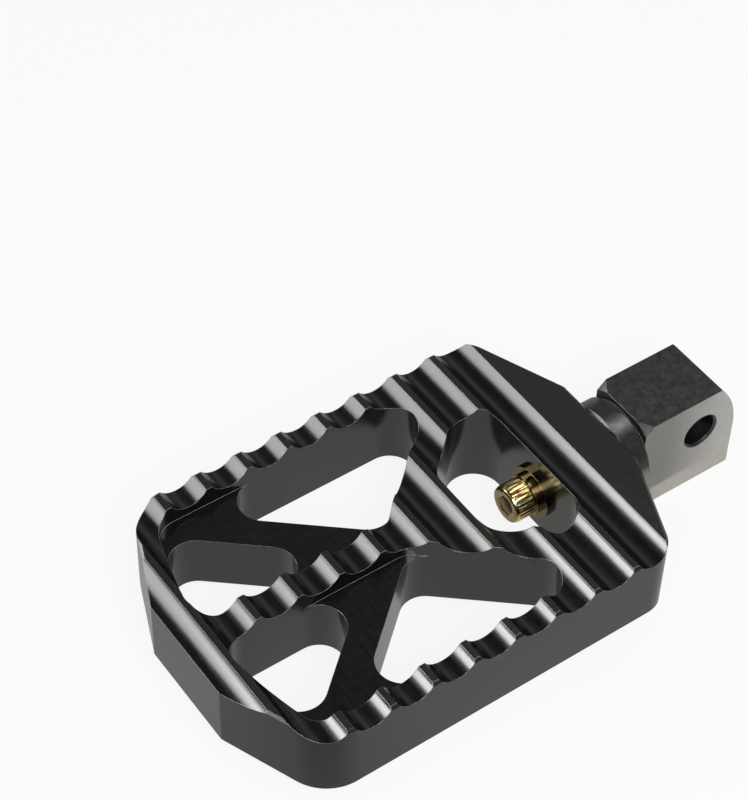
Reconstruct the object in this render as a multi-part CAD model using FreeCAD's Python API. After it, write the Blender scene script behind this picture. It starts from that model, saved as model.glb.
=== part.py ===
import FreeCAD, Part
import math
import os

# Motorcycle foot peg: a fluted platform on a turned and milled mount block.
# Millimetres. The origin is the centre of the pivot bore in the block.
# +X runs outboard to the tip of the platform, +Y along the pivot bore, +Z up.

# Mount block, milled flat on both sides
block_width = 16.3
block_top_z = 9.9
block_bottom_z = -15.4
block_end_x = -9.6
block_front_x = 11.8
pivot_bore_diameter = 7.94
pivot_bore_chamfer = 0.5
end_radius = 21.0
end_flat_top_z = -3.7

# Turned end of the mount
bolt_axis_z = -2.1
shoulder_length = 4.1
shoulder_back_radius = 15.9
shoulder_front_radius = 12.9
neck_length = 5.8
neck_diameter = 23.0
neck_edge_break = 0.6

# Platform
platform_length = 101.6
platform_width = 69.85
top_above_bolt_axis = 11.5
rail_height = 17.5
flange_height = 23.7
flange_thickness = 5.7
flange_blend_radius = 7.0
inboard_face_width = 24.2
tip_face_width = 24.6
corner_slope_angle = 22.3
inboard_blend_radius = 6.4
tip_blend_radius = 10.5
edge_break = 0.6

# Flutes, cut across the whole platform with a round-nosed cutter
flute_pitch = 9.75
flute_cutter_radius = 4.76
flute_depth = 2.45
first_flute_from_face = 13.55

# Pockets and windows
rail_width = 5.2
tip_bar_width = 5.7
tip_wall_flat_width = 19.0
tip_wall_slope_angle = 16.0
spine_width = 6.6
end_wall_thickness = 16.4
brace_angle = 40.4
tip_brace_width = 6.5
tip_brace_cross_past_middle = 1.7
mount_brace_width = 6.3
mount_brace_cross_past_middle = 0.1
brace_drop = 4.5
window_corner_radius = 5.5
hub_length = 14.2
bolt_window_corner_radius = 6.35
# Raised boss round that window on the underside
boss_drop = 3.1
boss_rim = 3.0

# Cap screw and its washers, which clamp the platform to the mount
screw_diameter = 5.0
screw_length = 30.0
screw_head_diameter = 8.5
screw_head_height = 5.0
screw_socket_width = 4.0
screw_socket_depth = 2.5
screw_edge_break = 0.4
washer_diameter = 12.0
washer_thickness = 1.2
lock_washer_diameter = 9.2
lock_washer_thickness = 1.3
lock_washer_split = 0.8
lock_washer_split_angle = 20.0
running_clearance = 0.1
thread_clearance = 0.05
tapped_depth_past_screw = 1.5

# Set screw in the end of the block
set_screw_diameter = 8.0
set_screw_length = 10.0
set_screw_z = -10.0
set_screw_recess = 0.8
set_screw_socket_width = 4.0
set_screw_socket_depth = 4.0
set_screw_edge_break = 0.6
set_screw_hole_depth = 14.0
set_screw_hole_chamfer = 0.5

# Places worked out from the sizes above
shoulder_front_x = block_front_x + shoulder_length
inboard_x = shoulder_front_x + neck_length
tip_x = inboard_x + platform_length
top_z = bolt_axis_z + top_above_bolt_axis
flange_bottom_z = top_z - flange_height
rail_bottom_z = top_z - rail_height
boss_bottom_z = rail_bottom_z - boss_drop
half_width = platform_width / 2
rail_inner_y = half_width - rail_width
spine_y = spine_width / 2
bolt_wall_x = inboard_x + end_wall_thickness
tip_wall_x = tip_x - tip_bar_width
washer_face_x = bolt_wall_x + washer_thickness
screw_seat_x = washer_face_x + lock_washer_thickness
middle_x = inboard_x + platform_length / 2
tip_brace_cross_x = middle_x + tip_brace_cross_past_middle
mount_brace_cross_x = middle_x + mount_brace_cross_past_middle
hub_wall_x = mount_brace_cross_x - hub_length
overcut = 5.0
# The most of a side that the rounds at its two ends may take
side_share = 0.98

X_AXIS = FreeCAD.Vector(1, 0, 0)
Y_AXIS = FreeCAD.Vector(0, 1, 0)
Z_AXIS = FreeCAD.Vector(0, 0, 1)
brace = math.radians(brace_angle)
slope = math.radians(corner_slope_angle)


def meet(first, first_angle, second, second_angle):
    """The point where two plan lines cross, each given by a point and a direction."""
    ax, ay = math.cos(first_angle), math.sin(first_angle)
    bx, by = math.cos(second_angle), math.sin(second_angle)
    dx, dy = second[0] - first[0], second[1] - first[1]
    along = (dx * by - dy * bx) / (ax * by - ay * bx)
    return first[0] + along * ax, first[1] + along * ay


def rounded_prism(corners, low_z, high_z):
    """An upright prism on a plan polygon, given as (x, y, corner radius) in order."""
    count = len(corners)
    points = [FreeCAD.Vector(x, y, low_z) for x, y, radius in corners]
    sides = [points[(index + 1) % count] - points[index] for index in range(count)]
    halves = [sides[index].getAngle(sides[index - 1] * -1) / 2 for index in range(count)]
    setbacks = [corners[index][2] / math.tan(halves[index]) for index in range(count)]
    shares = []
    for index in range(count):
        taken = setbacks[index] + setbacks[(index + 1) % count]
        shares.append(min(1, side_share * sides[index].Length / taken) if taken else 1)
    runs = []
    for index in range(count):
        here = points[index]
        setback = setbacks[index] * min(shares[index], shares[index - 1])
        if setback == 0:
            runs.append((here, None, here))
            continue
        radius = setback * math.tan(halves[index])
        after = sides[index] / sides[index].Length
        before = sides[index - 1] / -sides[index - 1].Length
        to_centre = (before + after).normalize()
        centre = here + to_centre * (radius / math.sin(halves[index]))
        runs.append((here + before * setback, centre - to_centre * radius, here + after * setback))
    edges = []
    for index, (start, middle, end) in enumerate(runs):
        if middle is not None:
            edges.append(Part.Arc(start, middle, end).toShape())
        next_start = runs[(index + 1) % len(runs)][0]
        edges.append(Part.LineSegment(end, next_start).toShape())
    face = Part.Face(Part.Wire(edges))
    return face.extrude(Z_AXIS * (high_z - low_z))


def both_sides(shape):
    """The shape and its mirror image across the middle plane."""
    return [shape, shape.mirror(FreeCAD.Vector(), Y_AXIS)]


def rod(radius, start_x, end_x, z):
    """A cylinder along X."""
    return Part.makeCylinder(radius, end_x - start_x, FreeCAD.Vector(start_x, 0, z), X_AXIS)


def hexagon(width, start_x, end_x, z):
    """A hexagonal bar along X, for a socket of that width across the flats."""
    corner_radius = width / math.sqrt(3)
    points = []
    for step in range(7):
        turn = math.radians(60 * step)
        y = corner_radius * math.cos(turn)
        points.append(FreeCAD.Vector(start_x, y, z + corner_radius * math.sin(turn)))
    return Part.Face(Part.makePolygon(points)).extrude(X_AXIS * (end_x - start_x))


def platform_blank():
    """The outline at full height, with its broken top edge, and the underside milled back."""
    inboard_corner = (inboard_x, inboard_face_width / 2)
    tip_corner = (tip_x, tip_face_width / 2)
    side = (inboard_x, half_width)
    inboard_bend = meet(inboard_corner, math.pi / 2 - slope, side, 0)
    tip_bend = meet(tip_corner, math.pi / 2 + slope, side, 0)
    half = [
        (*inboard_corner, 0),
        (*inboard_bend, inboard_blend_radius),
        (*tip_bend, tip_blend_radius),
        (*tip_corner, 0),
    ]
    other_half = [(x, -y, radius) for x, y, radius in reversed(half)]
    blank = rounded_prism(half + other_half, flange_bottom_z, top_z)
    top_edges = [edge for edge in blank.Edges if edge.BoundBox.ZMin > top_z - 0.001]
    blank = blank.makeChamfer(edge_break, top_edges)
    boss = bolt_window_prism(boss_rim, flange_bottom_z - overcut, top_z)
    return blank.cut([underside_relief(rail_bottom_z).cut(boss), underside_relief(boss_bottom_z)])


def underside_relief(level_z):
    """What is milled away below a level, with a round corner against the flange."""
    face_x = inboard_x + flange_thickness
    radius = flange_blend_radius
    lean = radius * (1 - math.sqrt(0.5))
    y = -half_width - overcut
    low_z = level_z - radius - flange_height
    low = FreeCAD.Vector(face_x, y, low_z)
    blend_low = FreeCAD.Vector(face_x, y, level_z - radius)
    blend_middle = FreeCAD.Vector(face_x + lean, y, level_z - lean)
    blend_high = FreeCAD.Vector(face_x + radius, y, level_z)
    far_high = FreeCAD.Vector(tip_x + overcut, y, level_z)
    far_low = FreeCAD.Vector(tip_x + overcut, y, low_z)
    edges = [
        Part.LineSegment(low, blend_low).toShape(),
        Part.Arc(blend_low, blend_middle, blend_high).toShape(),
        Part.LineSegment(blend_high, far_high).toShape(),
        Part.LineSegment(far_high, far_low).toShape(),
        Part.LineSegment(far_low, low).toShape(),
    ]
    return Part.Face(Part.Wire(edges)).extrude(Y_AXIS * (platform_width + 2 * overcut))


def brace_edge(cross_x, width, direction, side):
    """One edge of a brace: a point on the middle line and the edge's angle."""
    shift = side * width / 2 / math.sin(brace)
    return (cross_x + shift, 0), direction * brace


def top_pockets():
    """One pocket on each side of the spine, over the tip braces and the windows."""
    radius = window_corner_radius
    rail = (inboard_x, rail_inner_y)
    spine = (inboard_x, spine_y)
    tip_wall = (tip_wall_x, 0)
    slope_point = (tip_wall_x, tip_wall_flat_width / 2)
    slope_angle = math.pi / 2 + math.radians(tip_wall_slope_angle)
    mount_edge = brace_edge(mount_brace_cross_x, mount_brace_width, -1, 1)
    corners = [
        (*meet(tip_wall, math.pi / 2, spine, 0), radius),
        (*meet(tip_wall, math.pi / 2, slope_point, slope_angle), radius),
        (*meet(slope_point, slope_angle, rail, 0), radius),
        (*meet(*mount_edge, rail, 0), radius),
        (*meet(*mount_edge, spine, 0), radius),
    ]
    return both_sides(rounded_prism(corners, top_z - brace_drop, top_z + overcut))


def side_windows():
    """The triangle between a rail, a tip brace and a mount brace, on each side."""
    rail = (inboard_x, rail_inner_y)
    tip_edge = brace_edge(tip_brace_cross_x, tip_brace_width, 1, -1)
    mount_edge = brace_edge(mount_brace_cross_x, mount_brace_width, -1, 1)
    corners = [
        (*meet(*tip_edge, rail, 0), window_corner_radius),
        (*meet(*mount_edge, rail, 0), window_corner_radius),
        (*meet(*tip_edge, *mount_edge), window_corner_radius),
    ]
    return both_sides(rounded_prism(corners, rail_bottom_z - overcut, top_z + overcut))


def tip_windows():
    """The window between the spine, a tip brace and the tip bar, on each side."""
    radius = window_corner_radius
    spine = (inboard_x, spine_y)
    tip_wall = (tip_wall_x, 0)
    slope_point = (tip_wall_x, tip_wall_flat_width / 2)
    slope_angle = math.pi / 2 + math.radians(tip_wall_slope_angle)
    tip_edge = brace_edge(tip_brace_cross_x, tip_brace_width, 1, 1)
    corners = [
        (*meet(tip_wall, math.pi / 2, spine, 0), radius),
        (*meet(tip_wall, math.pi / 2, slope_point, slope_angle), radius),
        (*meet(slope_point, slope_angle, *tip_edge), radius),
        (*meet(*tip_edge, spine, 0), radius),
    ]
    return both_sides(rounded_prism(corners, rail_bottom_z - overcut, top_z + overcut))


def bolt_window_prism(rim, low_z, high_z):
    """The window that the screw head stands in, or the same form grown all round by a rim."""
    radius = bolt_window_corner_radius + rim
    mount_edge = brace_edge(mount_brace_cross_x, mount_brace_width - 2 * rim, -1, -1)
    wall_corner = meet(*mount_edge, (bolt_wall_x - rim, 0), math.pi / 2)
    hub_corner = meet(*mount_edge, (hub_wall_x + rim, 0), math.pi / 2)
    corners = [
        (*wall_corner, radius),
        (*hub_corner, radius),
        (hub_corner[0], -hub_corner[1], radius),
        (wall_corner[0], -wall_corner[1], radius),
    ]
    return rounded_prism(corners, low_z, high_z)


def flutes():
    """Round-bottomed cuts across the platform, from the first one out to the tip face."""
    room = platform_length - first_flute_from_face
    count = int(room / flute_pitch) + 1
    centre_z = top_z - flute_depth + flute_cutter_radius
    cuts = []
    for index in range(count):
        x = inboard_x + first_flute_from_face + index * flute_pitch
        start = FreeCAD.Vector(x, -half_width - overcut, centre_z)
        cuts.append(Part.makeCylinder(flute_cutter_radius, platform_width + 2 * overcut, start, Y_AXIS))
    return cuts


def make_platform():
    """The platform, one piece milled from plate."""
    hole_radius = screw_diameter / 2 + running_clearance
    hole = rod(hole_radius, inboard_x - overcut, bolt_wall_x + overcut, bolt_axis_z)
    bolt_window = bolt_window_prism(0, flange_bottom_z - overcut, top_z + overcut)
    cuts = top_pockets() + side_windows() + tip_windows() + [bolt_window, hole]
    return platform_blank().cut(cuts).cut(flutes()).removeSplitter()


def block_blank():
    """The milled block, with its long round at the end above the flat for the set screw."""
    centre_x = block_end_x + end_radius
    rise = block_top_z - end_flat_top_z
    middle_turn = math.asin(rise / end_radius) / 2
    round_top_x = centre_x - math.sqrt(end_radius ** 2 - rise ** 2)
    middle_x = centre_x - end_radius * math.cos(middle_turn)
    middle_z = end_flat_top_z + end_radius * math.sin(middle_turn)
    y = -block_width / 2
    front_low = FreeCAD.Vector(shoulder_front_x, y, block_bottom_z)
    front_high = FreeCAD.Vector(shoulder_front_x, y, block_top_z)
    round_top = FreeCAD.Vector(round_top_x, y, block_top_z)
    round_middle = FreeCAD.Vector(middle_x, y, middle_z)
    round_low = FreeCAD.Vector(block_end_x, y, end_flat_top_z)
    end_low = FreeCAD.Vector(block_end_x, y, block_bottom_z)
    edges = [
        Part.LineSegment(front_low, front_high).toShape(),
        Part.LineSegment(front_high, round_top).toShape(),
        Part.Arc(round_top, round_middle, round_low).toShape(),
        Part.LineSegment(round_low, end_low).toShape(),
        Part.LineSegment(end_low, front_low).toShape(),
    ]
    return Part.Face(Part.Wire(edges)).extrude(Y_AXIS * block_width)


def turned_end():
    """The cone that rounds the block's corners where it meets the neck."""
    far_radius = block_width + block_top_z - block_bottom_z
    back = rod(far_radius, block_end_x - overcut, block_front_x, bolt_axis_z)
    start = FreeCAD.Vector(block_front_x, 0, bolt_axis_z)
    cone = Part.makeCone(shoulder_back_radius, shoulder_front_radius, shoulder_length, start, X_AXIS)
    return back.fuse(cone)


def make_mount():
    """The mount, one piece: block, turned shoulder and round neck."""
    neck = rod(neck_diameter / 2, shoulder_front_x, inboard_x, bolt_axis_z)
    rims = [edge for edge in neck.Edges if len(edge.Vertexes) == 1]
    neck = neck.makeChamfer(neck_edge_break, rims)
    body = block_blank().common(turned_end()).fuse(neck)
    half_block = block_width / 2
    bore_start = FreeCAD.Vector(0, -half_block - overcut, 0)
    bore = Part.makeCylinder(pivot_bore_diameter / 2, block_width + 2 * overcut, bore_start, Y_AXIS)
    mouth = Part.makeCone(
        pivot_bore_diameter / 2,
        pivot_bore_diameter / 2 + pivot_bore_chamfer,
        pivot_bore_chamfer,
        FreeCAD.Vector(0, half_block - pivot_bore_chamfer, 0),
        Y_AXIS,
    )
    screw_end_x = screw_seat_x - screw_length
    tapped = rod(
        screw_diameter / 2 + thread_clearance,
        screw_end_x - tapped_depth_past_screw,
        inboard_x + overcut,
        bolt_axis_z,
    )
    hole_radius = set_screw_diameter / 2 + thread_clearance
    set_hole_end_x = block_end_x + set_screw_hole_depth
    set_hole = rod(hole_radius, block_end_x - overcut, set_hole_end_x, set_screw_z)
    countersink = Part.makeCone(
        hole_radius + set_screw_hole_chamfer,
        hole_radius,
        set_screw_hole_chamfer,
        FreeCAD.Vector(block_end_x, 0, set_screw_z),
        X_AXIS,
    )
    cuts = [bore, tapped, set_hole, countersink] + both_sides(mouth)
    return body.cut(cuts).removeSplitter()


def make_cap_screw():
    """A socket head cap screw, its head towards the tip of the platform."""
    end_x = screw_seat_x - screw_length
    head_end_x = screw_seat_x + screw_head_height
    head = rod(screw_head_diameter / 2, screw_seat_x, head_end_x, bolt_axis_z)
    head = head.makeChamfer(screw_edge_break, rim_at(head, head_end_x))
    shank = rod(screw_diameter / 2, end_x, screw_seat_x, bolt_axis_z)
    shank = shank.makeChamfer(screw_edge_break, rim_at(shank, end_x))
    socket = hexagon(screw_socket_width, head_end_x - screw_socket_depth, head_end_x + overcut, bolt_axis_z)
    return head.fuse(shank).cut(socket).removeSplitter()


def rim_at(shape, x):
    """The round edges of a cylinder along X that lie at one of its ends."""
    edges = []
    for edge in shape.Edges:
        box = edge.BoundBox
        if abs(box.XMin - x) < 0.001 and abs(box.XMax - x) < 0.001:
            edges.append(edge)
    return edges


def ring(diameter, start_x, end_x):
    """A flat ring round the cap screw."""
    outer = rod(diameter / 2, start_x, end_x, bolt_axis_z)
    hole_radius = screw_diameter / 2 + running_clearance
    return outer.cut(rod(hole_radius, start_x - overcut, end_x + overcut, bolt_axis_z))


def make_flat_washer():
    """The flat washer against the wall of the platform."""
    return ring(washer_diameter, bolt_wall_x, washer_face_x)


def make_lock_washer():
    """The split spring washer under the screw head, pressed flat, with its slanting split."""
    whole = ring(lock_washer_diameter, washer_face_x, screw_seat_x)
    start = FreeCAD.Vector(washer_face_x - overcut, -lock_washer_split / 2, bolt_axis_z)
    split = Part.makeBox(lock_washer_thickness + 2 * overcut, lock_washer_split, lock_washer_diameter, start)
    centre = FreeCAD.Vector((washer_face_x + screw_seat_x) / 2, 0, bolt_axis_z)
    split.rotate(centre, Z_AXIS, lock_washer_split_angle)
    return whole.cut(split)


def make_set_screw():
    """The set screw, its socket towards the end of the block."""
    outer_x = block_end_x + set_screw_recess
    inner_x = outer_x + set_screw_length
    body = rod(set_screw_diameter / 2, outer_x, inner_x, set_screw_z)
    body = body.makeChamfer(set_screw_edge_break, rim_at(body, outer_x) + rim_at(body, inner_x))
    socket_end_x = outer_x + set_screw_socket_depth
    socket = hexagon(set_screw_socket_width, outer_x - overcut, socket_end_x, set_screw_z)
    return body.cut(socket)


pieces = {
    "platform": make_platform(),
    "mount": make_mount(),
    "cap_screw": make_cap_screw(),
    "lock_washer": make_lock_washer(),
    "flat_washer": make_flat_washer(),
    "set_screw": make_set_screw(),
}

os.makedirs("parts", exist_ok=True)
for name, shape in pieces.items():
    shape.exportStep(f"parts/{name}.step")
    box = shape.BoundBox
    print(name, "solids", len(shape.Solids), "valid", shape.isValid(), "volume", round(shape.Volume, 1))
    print("  x", round(box.XMin, 2), round(box.XMax, 2), "y", round(box.YMin, 2), round(box.YMax, 2))
    print("  z", round(box.ZMin, 2), round(box.ZMax, 2))
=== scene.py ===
import math

import bpy
from mathutils import Matrix, Vector


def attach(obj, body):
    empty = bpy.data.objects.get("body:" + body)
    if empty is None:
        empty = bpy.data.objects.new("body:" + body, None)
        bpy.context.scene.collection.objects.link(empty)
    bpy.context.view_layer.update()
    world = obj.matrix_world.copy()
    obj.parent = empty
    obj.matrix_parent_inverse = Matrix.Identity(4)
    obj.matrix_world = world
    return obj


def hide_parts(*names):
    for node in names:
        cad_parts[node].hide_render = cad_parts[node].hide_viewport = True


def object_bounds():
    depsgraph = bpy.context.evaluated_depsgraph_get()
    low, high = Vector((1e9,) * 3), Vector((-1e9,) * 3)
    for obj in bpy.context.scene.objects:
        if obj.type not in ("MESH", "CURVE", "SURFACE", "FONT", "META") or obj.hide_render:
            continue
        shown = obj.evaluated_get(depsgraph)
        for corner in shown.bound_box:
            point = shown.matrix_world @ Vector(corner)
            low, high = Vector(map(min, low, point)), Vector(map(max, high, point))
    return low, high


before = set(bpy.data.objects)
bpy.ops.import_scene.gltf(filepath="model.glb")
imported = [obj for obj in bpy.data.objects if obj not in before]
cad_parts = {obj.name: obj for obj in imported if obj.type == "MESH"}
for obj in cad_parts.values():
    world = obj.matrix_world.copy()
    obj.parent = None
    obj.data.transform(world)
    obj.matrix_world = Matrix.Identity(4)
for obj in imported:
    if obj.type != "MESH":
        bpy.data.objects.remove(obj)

# Looks of the foot peg. Metres, in the part's own frame: the origin is the centre of the
# pivot bore, +X runs to the tip of the platform, +Y along the bore, +Z up. A colour is
# linear red, green, blue and alpha.

cad_box = [list(corner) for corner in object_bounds()]
MM = 0.001
X, Y, Z = 0, 1, 2

# Cap screw, with the size and place of its solid
screw_axis_z = -2.1 * MM
screw_seat_x = 40.6 * MM
screw_head_height = 5.0 * MM
screw_head_radius = 4.25 * MM
screw_shank_radius = 2.5 * MM
screw_shank_fillet = 0.05 * MM
screw_shank_fillet_length = 0.3 * MM
screw_length = 30.0 * MM
screw_thread_length = 22.0 * MM
screw_thread_pitch = 0.8 * MM
screw_thread_tip_gap = 0.6 * MM
screw_thread_runout = 0.1 * MM
screw_socket_width = 4.0 * MM
screw_socket_depth = 2.5 * MM
screw_socket_point = 0.7 * MM
screw_socket_mouth_depth = 0.22 * MM
screw_socket_mouth_share = 0.635
screw_socket_floor_share = 0.42
screw_knurl_count = 28
screw_knurl_depth = 0.16 * MM
screw_knurl_roundness = 0.7
screw_knurl_steps = 9
screw_knurl_from_seat = 0.50 * MM
screw_knurl_from_face = 0.85 * MM

# Its rounds. A tip ring is millimetres from the tip and a share of the shank's radius. The
# others are millimetres from the seat or the face, and millimetres inside the head's radius.
screw_tip_rings = ((0.0, 0.70), (0.5, 0.86))
screw_foot_rings = ((0.0, 0.35), (0.15, 0.16), (0.35, 0.14))
screw_face_rings = ((0.62, 0.14), (0.34, 0.16), (0.12, 0.30), (0.0, 0.62))

# Set screw, with the size and place of its solid. Its rings are millimetres from its outer
# or inner end, and millimetres inside its radius.
set_screw_outer_x = -8.8 * MM
set_screw_length = 10.0 * MM
set_screw_z = -10.0 * MM
set_screw_radius = 4.0 * MM
set_screw_thread_pitch = 1.25 * MM
set_screw_thread_outer_gap = 0.6 * MM
set_screw_thread_inner_gap = 1.2 * MM
set_screw_socket_width = 4.0 * MM
set_screw_socket_depth = 4.0 * MM
set_screw_socket_point = 0.8 * MM
set_screw_socket_mouth_depth = 0.25 * MM
set_screw_socket_mouth_share = 0.64
set_screw_cup_depth = 1.0 * MM
set_screw_steps = 72
set_screw_outer_rings = ((0.0, 0.75), (0.55, 0.12))
set_screw_inner_rings = ((1.1, 0.10), (0.0, 1.10), (0.0, 1.40))

# Both threads
thread_height_share = 0.61
thread_rows_per_turn = 8
thread_flank_rise = 1.3
thread_root_share = 0.1
thread_crest_gap = 0.001 * MM
sharp_angle = 32

plain_white = (1, 1, 1, 1)

# Noise: scale, detail and roughness
fine_grain = (4200, 3.0, 0.6)
mottle_grain = (620, 4.0, 0.65)
cutter_line_grain = (2600, 2.0, 0.5)
cutter_line_stretch = (1.0, 0.03, 1.0)
platform_broad_grain = (45, 2.0, 0.55)
mount_broad_grain = (60, 2.0, 0.55)
zinc_patch_grain = (330, 3.0, 0.6)
zinc_fine_grain = (2600, 3.0, 0.6)
steel_stain_grain = (420, 4.0, 0.65)
steel_fine_grain = (3200, 3.0, 0.6)
tone_range = (0.35, 0.65)
fine_range = (0.3, 0.7)

# What each of two values counts for in a sum
tone_weights = (0.7, 0.3)
platform_roughness_weights = (1.0, 0.5)
platform_relief_weights = (0.55, 0.45)
mount_line_weights = (1.0, 0.5)
mount_relief_weights = (0.4, 1.0)
zinc_relief_weights = (0.5, 0.3)
steel_relief_weights = (0.5, 1.0)

# Black anodise. A pair of colours is the darker and the paler end of a tone.
anodise_ior = 1.80
anodise_edge = 0.22 * MM
# Painted highlight: the pale colour that the anodised edges go towards
anodise_highlight_colour = (0.40, 0.395, 0.38, 1)
platform_black = ((0.002, 0.002, 0.0019, 1), (0.006, 0.006, 0.0057, 1))
platform_top_z = 9.4 * MM
platform_land_band = (platform_top_z - 0.12 * MM, platform_top_z - 0.04 * MM)
platform_land_black = (0.018, 0.018, 0.017, 1)
# How far the platform's edges go to the painted highlight
platform_highlight_share = 0.9
platform_roughness_range = (0.5, 1.0)
platform_roughness = (0.15, 0.23)
platform_relief = 0.008 * MM
mount_black = ((0.003, 0.003, 0.0029, 1), (0.009, 0.009, 0.0086, 1))
# Painted reflections on the block: grey to pale on its sides, warm low on them and on the flat
# end
mount_grey = ((0.15, 0.146, 0.14, 1), (0.20, 0.195, 0.187, 1))
mount_pale = ((0.36, 0.352, 0.34, 1), (0.45, 0.441, 0.425, 1))
mount_warm = ((0.36, 0.335, 0.30, 1), (0.46, 0.43, 0.39, 1))
# Shares of the painted highlight on the edges and of the painted reflection on the flat end
mount_highlight_share = 0.8
mount_end_reflection_share = 0.7
mount_roughness = (0.28, 0.42)
mount_relief = 0.018 * MM
mount_end_ridge_pitch = 0.45 * MM
mount_turned_ring_pitch = 0.32 * MM

# Where the mount's painted reflections, ridges and rings lie: how far a face looks along an
# axis, or a place along it
mount_side_facing = (0.93, 0.98)
mount_flat_end_facing = (-0.97, -0.995)
mount_round_end_facing = (-0.1, -0.3)
mount_low_band = (-9.6 * MM, -11.6 * MM)
mount_block_end_band = (11.9 * MM, 11.7 * MM)
mount_pale_band = (9.0 * MM, -6.0 * MM)

# Yellow zinc plate. Its colours lie side by side in patches, as its film is thin or thick.
zinc_film = (
    (0.34, (0.50, 0.28, 0.14, 1)),
    (0.43, (0.68, 0.48, 0.20, 1)),
    (0.50, (0.86, 0.74, 0.31, 1)),
    (0.58, (0.80, 0.76, 0.40, 1)),
    (0.68, (0.50, 0.50, 0.31, 1)),
)
zinc_brown = (0.11, 0.085, 0.052, 1)
zinc_edge = 0.08 * MM
# Painted highlight: the paler gold on the edges, and how far the edges go to it
zinc_highlight_colour = (0.80, 0.72, 0.45, 1)
zinc_highlight_share = 0.5
zinc_roughness = (0.12, 0.25)
zinc_relief = 0.005 * MM
screw_end_facing = (0.80, 0.97)
screw_end_brown = (0.22, 0.16, 0.105, 1)
screw_end_share = 0.75
# Painted shade inside the cap screw's socket
socket_shade_colour = (0.16, 0.13, 0.10, 1)
socket_reach_band = (screw_socket_width * 0.66, screw_socket_width * 0.60)
screw_face_x = screw_seat_x + screw_head_height
socket_deep_band = (screw_face_x, screw_face_x - 1.2 * MM)
socket_end_band = (screw_seat_x + 0.8 * MM, screw_seat_x + 1.2 * MM)

# Bright steel
steel_tones = ((0.40, 0.385, 0.36, 1), (0.66, 0.65, 0.62, 1))
steel_edge = 0.10 * MM
# Painted highlight: the paler steel on the edges, and how far the edges go to it
steel_highlight_colour = (0.82, 0.80, 0.77, 1)
steel_highlight_share = 0.5
steel_roughness = (0.20, 0.36)
steel_relief = 0.008 * MM
steel_ring_pitch = 0.25 * MM

# Camera, fitted to the photograph's frame of 748 by 800
camera_place = Vector((0.25871, 0.24264, 0.38102))
camera_forward = Vector((-0.39995, -0.54337, -0.73810))
camera_up = Vector((-0.41274, -0.61226, 0.67438))
camera_lens = 108.708
camera_sensor_width = 36
camera_clip_start = 0.01
look_at = Vector((0.063, -0.010, -0.003))

# Floor. In reflections it has a painted shadow round one place near the platform's near corner.
floor_gap = 0.02 * MM
floor_half_width = 3.0
floor_colour = (0.88, 0.88, 0.88, 1)
floor_white_seen = 0.88
floor_white_mirrored = 0.90
floor_mirrored_tint = (1.0, 0.98, 0.94, 1)
floor_mirrored_strength = (0.17, 0.52)
dim_patch_place = (0.134, 0.050, 0.0)
dim_patch_reach = 60.0 * MM

# How bright the surroundings are in a reflection, by the sine of their height above the
# floor. On matt surfaces they are equally bright all round.
sky_levels = (
    (0.0, 0.18), (0.17, 0.15), (0.31, 0.08), (0.44, 0.20), (0.56, 0.36),
    (0.66, 0.19), (0.73, 0.095), (0.81, 0.04), (0.88, 0.02), (1.0, 0.04),
)
soft_light_level = 0.45


def add_node(tree, kind, inputs=None, **settings):
    """A shader node with its settings; an input is a value or another node's socket."""
    made = tree.nodes.new(kind)
    for name, value in settings.items():
        setattr(made, name, value)
    for name, value in (inputs or {}).items():
        if isinstance(value, bpy.types.NodeSocket):
            tree.links.new(value, made.inputs[name])
        else:
            made.inputs[name].default_value = value
    return made


def calculate(tree, operation, *values):
    """A Math node's result."""
    inputs = dict(enumerate(values))
    return add_node(tree, "ShaderNodeMath", inputs, operation=operation).outputs[0]


def multiply(tree, first, second):
    """A product."""
    return calculate(tree, "MULTIPLY", first, second)


def weighted_sum(tree, first, second, weights):
    """The sum of two values, each times its weight."""
    parts = [multiply(tree, value, weight) for value, weight in zip((first, second), weights)]
    return calculate(tree, "ADD", *parts)


def remap(tree, value, low, high, to_low=0.0, to_high=1.0, smooth=False):
    """A value taken from one range to another, held at its ends."""
    kind = "SMOOTHSTEP" if smooth else "LINEAR"
    inputs = {
        "Value": value, "From Min": low, "From Max": high, "To Min": to_low, "To Max": to_high,
    }
    return add_node(tree, "ShaderNodeMapRange", inputs, interpolation_type=kind).outputs[0]


def blend_colours(tree, factor, first, second):
    """A mix of two colours, by the colour sockets of a Mix node."""
    factor_socket, first_socket, second_socket, result_socket = 0, 6, 7, 2
    inputs = {factor_socket: factor, first_socket: first, second_socket: second}
    return add_node(tree, "ShaderNodeMix", inputs, data_type="RGBA").outputs[result_socket]


def blend_values(tree, factor, first, second):
    """A mix of two numbers, by the number sockets of a Mix node."""
    factor_socket, first_socket, second_socket, result_socket = 0, 2, 3, 0
    inputs = {factor_socket: factor, first_socket: first, second_socket: second}
    return add_node(tree, "ShaderNodeMix", inputs, data_type="FLOAT").outputs[result_socket]


def colour_ramp(tree, value, stops, interpolation="LINEAR"):
    """A colour that follows a value through stops, each a position and a colour."""
    made = add_node(tree, "ShaderNodeValToRGB", {0: value})
    ramp = made.color_ramp
    ramp.interpolation = interpolation
    for index, stop in enumerate((stops[0], stops[-1])):
        ramp.elements[index].position = stop[0]
        ramp.elements[index].color = stop[1]
    for position, colour in stops[1:-1]:
        ramp.elements.new(position).color = colour
    return made.outputs[0]


def split(tree, vector):
    """The X, Y and Z of a vector."""
    return add_node(tree, "ShaderNodeSeparateXYZ", {0: vector}).outputs


def noise(tree, coords, grain, stretch=None):
    """Noise, drawn out along an axis where stretch is below 1."""
    if stretch:
        inputs = {"Vector": coords, "Scale": stretch}
        coords = add_node(tree, "ShaderNodeMapping", inputs).outputs[0]
    scale, detail, roughness = grain
    inputs = {"Vector": coords, "Scale": scale, "Detail": detail, "Roughness": roughness}
    return add_node(tree, "ShaderNodeTexNoise", inputs).outputs[0]


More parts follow.
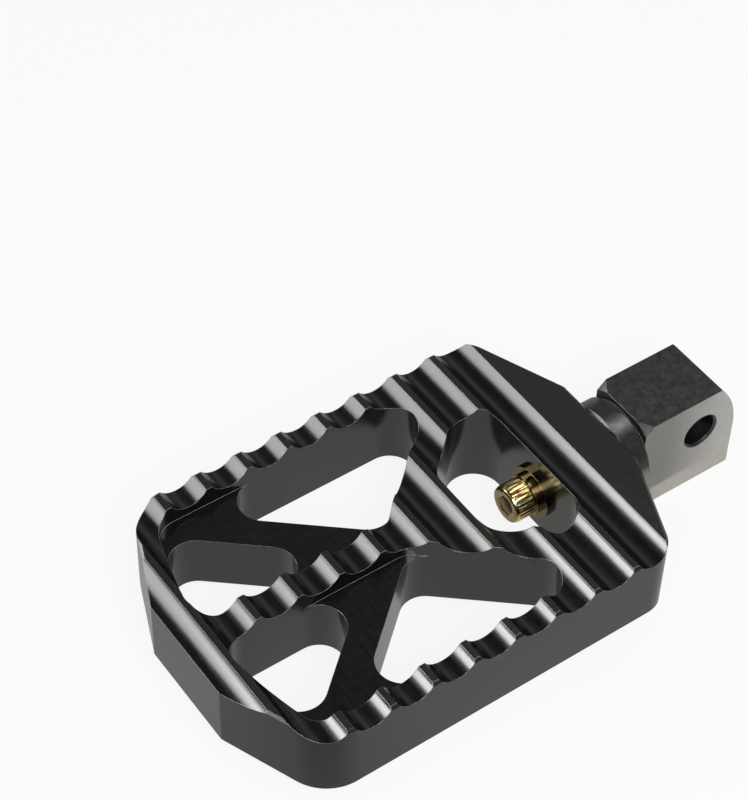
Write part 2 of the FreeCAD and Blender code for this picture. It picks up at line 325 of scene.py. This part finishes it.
def ridges(tree, coords, axis, pitch):
    """Even ridges across an axis of the part. The texture has its own rate of radians."""
    radians_per_unit = 20
    scale = 2 * math.pi / (radians_per_unit * pitch)
    inputs = {"Vector": coords, "Scale": scale, "Distortion": 0.0}
    settings = {"wave_type": "BANDS", "bands_direction": axis}
    return add_node(tree, "ShaderNodeTexWave", inputs, **settings).outputs["Fac"]


def new_material(name):
    """A material with its node tree, its shader and the coordinates and normals of the part."""
    material = bpy.data.materials.new(name)
    material.use_nodes = True
    tree = material.node_tree
    tree.nodes.clear()
    shader = add_node(tree, "ShaderNodeBsdfPrincipled")
    add_node(tree, "ShaderNodeOutputMaterial", {0: shader.outputs[0]})
    places = add_node(tree, "ShaderNodeTexCoord").outputs
    return material, tree, shader, places


def rounded_edges(tree, radius):
    """The normal with its edges rounded, and how far a point lies on such an edge."""
    off_edge, on_edge = 0.86, 0.73
    bevel_samples = 6
    inputs = {"Radius": radius}
    rounded = add_node(tree, "ShaderNodeBevel", inputs, samples=bevel_samples).outputs[0]
    plain = add_node(tree, "ShaderNodeNewGeometry").outputs["Normal"]
    inputs = {0: rounded, 1: plain}
    turn = add_node(tree, "ShaderNodeVectorMath", inputs, operation="DOT_PRODUCT")
    return rounded, remap(tree, turn.outputs["Value"], off_edge, on_edge)


def paint_edge_highlight(tree, edge, share, colour, edge_colour):
    """A colour that goes towards another on the edges, as a painted highlight."""
    return blend_colours(tree, multiply(tree, edge, share), colour, edge_colour)


def finish_surface(tree, shader, colour, rough, height, depth, normal):
    """Joins colour, roughness and relief to the shader."""
    inputs = {"Strength": 1.0, "Distance": depth, "Height": height, "Normal": normal}
    bump = add_node(tree, "ShaderNodeBump", inputs)
    tree.links.new(colour, shader.inputs["Base Color"])
    tree.links.new(rough, shader.inputs["Roughness"])
    tree.links.new(bump.outputs[0], shader.inputs["Normal"])


def anodised_platform():
    """Satin black anodise, cutter lines along the flutes, paler lands, painted edge highlights.
    """
    material, tree, shader, places = new_material("platform_black_anodise")
    coords = places["Object"]
    shader.inputs["IOR"].default_value = anodise_ior
    rounded, edge = rounded_edges(tree, anodise_edge)
    fine = noise(tree, coords, fine_grain)
    mottle = noise(tree, coords, mottle_grain)
    broad = noise(tree, coords, platform_broad_grain)
    lines = noise(tree, coords, cutter_line_grain, cutter_line_stretch)
    tone = weighted_sum(tree, mottle, broad, tone_weights)
    colour = blend_colours(tree, remap(tree, tone, *tone_range), *platform_black)
    land = remap(tree, split(tree, coords)[Z], *platform_land_band)
    colour = blend_colours(tree, land, colour, platform_land_black)
    # Painted highlight on the edges
    colour = paint_edge_highlight(tree, edge, platform_highlight_share, colour, anodise_highlight_colour)
    rough = weighted_sum(tree, lines, mottle, platform_roughness_weights)
    rough = remap(tree, rough, *platform_roughness_range, *platform_roughness)
    height = weighted_sum(tree, fine, lines, platform_relief_weights)
    finish_surface(tree, shader, colour, rough, height, platform_relief, rounded)
    return material


def anodised_mount():
    """Black anodise; painted reflections on its sides and flat end; round-end ridges; neck
    rings.
    """
    material, tree, shader, places = new_material("mount_black_anodise")
    coords = places["Object"]
    shader.inputs["IOR"].default_value = anodise_ior
    rounded, edge = rounded_edges(tree, anodise_edge)
    fine = noise(tree, coords, fine_grain)
    mottle = noise(tree, coords, mottle_grain)
    broad = noise(tree, coords, mount_broad_grain)
    place = split(tree, coords)
    facing = split(tree, places["Normal"])
    side = remap(tree, calculate(tree, "ABSOLUTE", facing[Y]), *mount_side_facing)
    flat_end = remap(tree, facing[X], *mount_flat_end_facing)
    round_end = remap(tree, facing[X], *mount_round_end_facing)
    low = remap(tree, place[Z], *mount_low_band, smooth=True)
    block = remap(tree, place[X], *mount_block_end_band)
    outward = remap(tree, place[X], *mount_pale_band)
    tone = weighted_sum(tree, mottle, broad, tone_weights)
    tone = remap(tree, tone, *tone_range)
    black, grey, pale, warm = [
        blend_colours(tree, tone, *pair)
        for pair in (mount_black, mount_grey, mount_pale, mount_warm)
    ]
    # Painted reflections: grey to pale along the sides, warm low down and on the flat end
    painted_side_sheen = blend_colours(tree, low, blend_colours(tree, outward, grey, pale), warm)
    colour = blend_colours(tree, side, black, painted_side_sheen)
    colour = blend_colours(tree, multiply(tree, flat_end, mount_end_reflection_share), colour, warm)
    # Painted highlight on the edges
    colour = paint_edge_highlight(tree, edge, mount_highlight_share, colour, anodise_highlight_colour)
    rough = remap(tree, mottle, *tone_range, *mount_roughness)
    end_ridges = ridges(tree, coords, "Z", mount_end_ridge_pitch)
    end_ridges = multiply(tree, end_ridges, multiply(tree, round_end, block))
    neck = calculate(tree, "SUBTRACT", 1.0, block)
    turned = multiply(tree, ridges(tree, coords, "X", mount_turned_ring_pitch), neck)
    lines = weighted_sum(tree, end_ridges, turned, mount_line_weights)
    height = weighted_sum(tree, fine, lines, mount_relief_weights)
    finish_surface(tree, shader, colour, rough, height, mount_relief, rounded)
    return material


def dress_screw_end(tree, shader, places, colour):
    """A browner end face on the cap screw, and painted shade, dull and dark, inside its socket.
    """
    place = split(tree, places["Object"])
    facing = split(tree, places["Normal"])
    end_face = remap(tree, facing[X], *screw_end_facing)
    end_face = multiply(tree, end_face, screw_end_share)
    colour = blend_colours(tree, end_face, colour, screw_end_brown)
    up = calculate(tree, "SUBTRACT", place[Z], screw_axis_z)
    squares = multiply(tree, place[Y], place[Y])
    squares = calculate(tree, "ADD", squares, multiply(tree, up, up))
    inside = remap(tree, calculate(tree, "SQRT", squares), *socket_reach_band)
    inside = multiply(tree, inside, remap(tree, place[X], *socket_deep_band))
    inside = multiply(tree, inside, remap(tree, place[X], *socket_end_band))
    # Painted shade: the socket's inside is dull and dark
    tree.links.new(calculate(tree, "SUBTRACT", 1.0, inside), shader.inputs["Metallic"])
    return blend_colours(tree, inside, colour, socket_shade_colour)


def yellow_zinc(name, ring_pitch, brown, socket=False):
    """Yellow zinc plate, from gold to olive in patches, with a share of brown all over."""
    material, tree, shader, places = new_material(name)
    coords = places["Object"]
    shader.inputs["Metallic"].default_value = 1.0
    rounded, edge = rounded_edges(tree, zinc_edge)
    patches = noise(tree, coords, zinc_patch_grain)
    fine = noise(tree, coords, zinc_fine_grain)
    colour = blend_colours(tree, brown, colour_ramp(tree, patches, zinc_film), zinc_brown)
    if socket:
        colour = dress_screw_end(tree, shader, places, colour)
    # Painted highlight on the edges
    colour = paint_edge_highlight(tree, edge, zinc_highlight_share, colour, zinc_highlight_colour)
    rough = remap(tree, fine, *fine_range, *zinc_roughness)
    turned = ridges(tree, coords, "X", ring_pitch)
    height = weighted_sum(tree, fine, turned, zinc_relief_weights)
    finish_surface(tree, shader, colour, rough, height, zinc_relief, rounded)
    return material


def bright_steel():
    """Plain bright steel with light turning marks and a little oil in its pores."""
    material, tree, shader, places = new_material("set_screw_bright_steel")
    coords = places["Object"]
    shader.inputs["Metallic"].default_value = 1.0
    rounded, edge = rounded_edges(tree, steel_edge)
    stain = noise(tree, coords, steel_stain_grain)
    fine = noise(tree, coords, steel_fine_grain)
    colour = blend_colours(tree, remap(tree, stain, *tone_range), *steel_tones)
    # Painted highlight on the edges
    colour = paint_edge_highlight(tree, edge, steel_highlight_share, colour, steel_highlight_colour)
    rough = remap(tree, fine, *fine_range, *steel_roughness)
    turned = ridges(tree, coords, "X", steel_ring_pitch)
    height = weighted_sum(tree, fine, turned, steel_relief_weights)
    finish_surface(tree, shader, colour, rough, height, steel_relief, rounded)
    return material


def dress(node_name, material):
    """Gives a solid of the frame its finish."""
    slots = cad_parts[node_name].data.materials
    slots.clear()
    slots.append(material)


def lofted_rings(name, rings, centre_z, first_centre, last_centre):
    """A closed smooth mesh through rings round X. A ring is an x, and a radius for each step."""
    steps = len(rings[0][1])
    last_ring = (len(rings) - 1) * steps
    points = []
    for x, radii in rings:
        for index, radius in enumerate(radii):
            turn = 2 * math.pi * index / steps
            points.append((x, radius * math.cos(turn), centre_z + radius * math.sin(turn)))
    faces = []
    for start in range(0, last_ring, steps):
        for index in range(steps):
            after = (index + 1) % steps
            near = (start + index, start + after)
            faces.append(near + (start + steps + after, start + steps + index))
    for x, start, turned in ((first_centre, 0, True), (last_centre, last_ring, False)):
        points.append((x, 0, centre_z))
        for index in range(steps):
            face = (start + index, start + (index + 1) % steps, len(points) - 1)
            faces.append(tuple(reversed(face)) if turned else face)
    mesh = bpy.data.meshes.new(name)
    mesh.from_pydata(points, [], faces)
    mesh.validate()
    mesh.update()
    for polygon in mesh.polygons:
        polygon.use_smooth = True
    mesh.set_sharp_from_angle(angle=math.radians(sharp_angle))
    piece = bpy.data.objects.new(name, mesh)
    bpy.context.scene.collection.objects.link(piece)
    return piece


def round_ring(x, radius, steps):
    """A circle."""
    return x, [radius] * steps


def inset_rings(profile, end_x, direction, radius, steps):
    """Circles near an end. A row of the profile is how far from it and inside the radius."""
    return [
        round_ring(end_x + direction * (along * MM), radius - inward * MM, steps)
        for along, inward in profile
    ]


def hex_ring(x, width, steps):
    """A hexagon of that width across its flats, with its first corner on the first step."""
    radii = []
    for index in range(steps):
        turn = math.radians((360 * index / steps) % 60 - 30)
        radii.append(width / 2 / math.cos(turn))
    return x, radii


def knurl_ring(x, radius, steps):
    """A circle with rounded axial ridges."""
    radii = []
    for index in range(steps):
        wave = 0.5 + 0.5 * math.cos(2 * math.pi * screw_knurl_count * index / steps)
        radii.append(radius - screw_knurl_depth * (1 - wave ** screw_knurl_roundness))
    return x, radii


def thread_rings(start_x, end_x, radius, pitch, steps):
    """Rings of a single-start thread that fades out at both ends."""
    height = pitch * thread_height_share
    count = int(round((end_x - start_x) / pitch * thread_rows_per_turn))
    rings = []
    for row in range(count + 1):
        x = start_x + (end_x - start_x) * row / count
        fade = min(1.0, (x - start_x) / pitch, (end_x - x) / pitch)
        radii = []
        for index in range(steps):
            phase = (x / pitch - index / steps) % 1
            flank = (1 - abs(2 * phase - 1)) * thread_flank_rise - thread_root_share
            ridge = min(1.0, max(0.0, flank))
            radii.append(radius - height * (1 - ridge) * fade - thread_crest_gap)
        rings.append((x, radii))
    return rings


def make_cap_screw():
    """The socket head cap screw: knurled head, hexagonal socket, plain shank and thread."""
    steps = screw_knurl_count * screw_knurl_steps
    seat = screw_seat_x
    face = screw_face_x
    tip = seat - screw_length
    thread_end = tip + screw_thread_length
    radius = screw_head_radius
    shank = screw_shank_radius
    width = screw_socket_width
    floor = face - screw_socket_depth
    rings = [
        round_ring(tip + along * MM, shank * share, steps) for along, share in screw_tip_rings
    ]
    thread_start = tip + screw_thread_tip_gap
    rings += thread_rings(thread_start, thread_end, shank, screw_thread_pitch, steps)
    rings += [
        round_ring(thread_end + screw_thread_runout, shank, steps),
        round_ring(seat - screw_shank_fillet_length, shank, steps),
        round_ring(seat, shank + screw_shank_fillet, steps),
    ]
    rings += inset_rings(screw_foot_rings, seat, 1, radius, steps)
    rings += [
        knurl_ring(seat + screw_knurl_from_seat, radius, steps),
        knurl_ring(face - screw_knurl_from_face, radius, steps),
    ]
    rings += inset_rings(screw_face_rings, face, -1, radius, steps)
    rings += [
        round_ring(face, width * screw_socket_mouth_share, steps),
        hex_ring(face - screw_socket_mouth_depth, width, steps),
        hex_ring(floor, width, steps),
        round_ring(floor, width * screw_socket_floor_share, steps),
    ]
    deepest = floor - screw_socket_point
    return lofted_rings("cap_screw_detail", rings, screw_axis_z, tip, deepest)


def make_set_screw():
    """The set screw: hexagonal socket, thread and cup point."""
    steps = set_screw_steps
    outer = set_screw_outer_x
    inner = outer + set_screw_length
    radius = set_screw_radius
    width = set_screw_socket_width
    floor = outer + set_screw_socket_depth
    rings = [
        hex_ring(floor, width, steps),
        hex_ring(outer + set_screw_socket_mouth_depth, width, steps),
        round_ring(outer, width * set_screw_socket_mouth_share, steps),
    ]
    rings += inset_rings(set_screw_outer_rings, outer, 1, radius, steps)
    thread_start = outer + set_screw_thread_outer_gap
    thread_end = inner - set_screw_thread_inner_gap
    rings += thread_rings(thread_start, thread_end, radius, set_screw_thread_pitch, steps)
    rings += inset_rings(set_screw_inner_rings, inner, -1, radius, steps)
    deepest = floor + set_screw_socket_point
    cup = inner - set_screw_cup_depth
    return lofted_rings("set_screw_detail", rings, set_screw_z, deepest, cup)


def area_light(
    name, direction, distance, width, height, radiance, colour, sheen_only=False, roll=0.0
):
    """A soft rectangular lamp that faces the part. One for sheen shows in reflections only."""
    lamp = bpy.data.lights.new(name, "AREA")
    lamp.shape = "RECTANGLE"
    lamp.size = width
    lamp.size_y = height
    lamp.energy = radiance * math.pi * width * height
    lamp.color = colour
    made = bpy.data.objects.new(name, lamp)
    bpy.context.scene.collection.objects.link(made)
    away = Vector(direction).normalized()
    made.location = look_at + away * distance
    turn = away.to_track_quat("Z", "Y").to_matrix() @ Matrix.Rotation(math.radians(roll), 3, "Z")
    made.rotation_euler = turn.to_euler()
    made.visible_camera = False
    made.visible_diffuse = not sheen_only


def make_floor():
    """A plain white floor that keeps the part's shadow, is dimmer in reflections and has painted
    shade in them.
    """
    level = cad_box[0][Z] - floor_gap
    size = floor_half_width
    corners = [
        (-size, -size, level), (size, -size, level), (size, size, level), (-size, size, level),
    ]
    mesh = bpy.data.meshes.new("floor")
    mesh.from_pydata(corners, [], [(0, 1, 2, 3)])
    floor = bpy.data.objects.new("floor", mesh)
    bpy.context.scene.collection.objects.link(floor)
    material = bpy.data.materials.new("floor_white")
    material.use_nodes = True
    tree = material.node_tree
    tree.nodes.clear()
    paths = add_node(tree, "ShaderNodeLightPath").outputs
    mirrored = paths["Is Glossy Ray"]
    seen = calculate(tree, "MAXIMUM", paths["Is Camera Ray"], mirrored)
    seen = calculate(tree, "MAXIMUM", seen, paths["Is Transmission Ray"])
    plain = add_node(tree, "ShaderNodeBsdfDiffuse", {"Color": floor_colour})
    tint = blend_colours(tree, mirrored, plain_white, floor_mirrored_tint)
    place = add_node(tree, "ShaderNodeNewGeometry").outputs["Position"]
    inputs = {0: place, 1: dim_patch_place}
    away = add_node(tree, "ShaderNodeVectorMath", inputs, operation="DISTANCE").outputs["Value"]
    dimmed = remap(tree, away, 0.0, dim_patch_reach, *floor_mirrored_strength, smooth=True)
    strength = blend_values(tree, mirrored, 1.0, dimmed)
    white = add_node(tree, "ShaderNodeEmission", {"Color": tint, "Strength": strength})
    share = remap(tree, mirrored, 0.0, 1.0, floor_white_seen, floor_white_mirrored)
    inputs = {0: multiply(tree, seen, share), 1: plain.outputs[0], 2: white.outputs[0]}
    mixed = add_node(tree, "ShaderNodeMixShader", inputs)
    add_node(tree, "ShaderNodeOutputMaterial", {0: mixed.outputs[0]})
    mesh.materials.append(material)


def make_world():
    """White to the camera, one bright belt in reflections, and a plain soft light elsewhere."""
    world = bpy.data.worlds.new("studio")
    bpy.context.scene.world = world
    world.use_nodes = True
    tree = world.node_tree
    tree.nodes.clear()
    direction = add_node(tree, "ShaderNodeTexCoord").outputs["Generated"]
    stops = [(position, (level, level, level, 1)) for position, level in sky_levels]
    sky = colour_ramp(tree, split(tree, direction)[Z], stops, "B_SPLINE")
    paths = add_node(tree, "ShaderNodeLightPath").outputs
    mirrored = calculate(tree, "MAXIMUM", paths["Is Glossy Ray"], paths["Is Transmission Ray"])
    level = blend_values(tree, mirrored, soft_light_level, sky)
    level = calculate(tree, "MAXIMUM", level, paths["Is Camera Ray"])
    inputs = {"Color": plain_white, "Strength": level}
    background = add_node(tree, "ShaderNodeBackground", inputs)
    add_node(tree, "ShaderNodeOutputWorld", {0: background.outputs[0]})


def make_camera():
    """The camera at the photograph's place."""
    camera = bpy.data.cameras.new("camera")
    camera.lens = camera_lens
    camera.sensor_width = camera_sensor_width
    camera.clip_start = camera_clip_start
    made = bpy.data.objects.new("camera", camera)
    bpy.context.scene.collection.objects.link(made)
    forward = camera_forward.normalized()
    right = forward.cross(camera_up).normalized()
    up = right.cross(forward)
    rotation = Matrix((right, up, -forward)).transposed().to_4x4()
    made.matrix_world = Matrix.Translation(camera_place) @ rotation
    bpy.context.scene.camera = made


make_camera()
make_world()
make_floor()
area_light(
    "key", direction=(0.27, 0.60, 0.75), distance=0.9, width=0.36, height=0.36,
    radiance=11.6, colour=(1.0, 0.99, 0.97),
)
area_light(
    "side_softbox", direction=(0.643, -0.689, 0.334), distance=1.5, width=1.40, height=1.38,
    radiance=4.3, colour=(1.0, 0.99, 0.97), sheen_only=True, roll=-23,
)
area_light(
    "tip_softbox", direction=(0.874, -0.226, 0.43), distance=1.0, width=0.48, height=0.53,
    radiance=6.4, colour=(1.0, 1.0, 0.98), sheen_only=True,
)
area_light(
    "screw_lamp", direction=(-0.40, -0.02, 0.90), distance=0.8, width=0.26, height=0.30,
    radiance=7.0, colour=(1.0, 0.99, 0.96), sheen_only=True,
)

dress("platform", anodised_platform())
dress("mount", anodised_mount())
dress("flat_washer", yellow_zinc("flat_washer_yellow_zinc", ring_pitch=0.30 * MM, brown=0.92))
dress("lock_washer", yellow_zinc("lock_washer_yellow_zinc", ring_pitch=0.30 * MM, brown=0.80))

cap_screw = make_cap_screw()
cap_screw.data.materials.append(
    yellow_zinc("cap_screw_yellow_zinc", ring_pitch=0.25 * MM, brown=0.0, socket=True)
)
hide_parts("cap_screw")
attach(cap_screw, "mount")

set_screw = make_set_screw()
set_screw.data.materials.append(bright_steel())
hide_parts("set_screw")
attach(set_screw, "set_screw")

bpy.context.scene.view_settings.view_transform = "Standard"
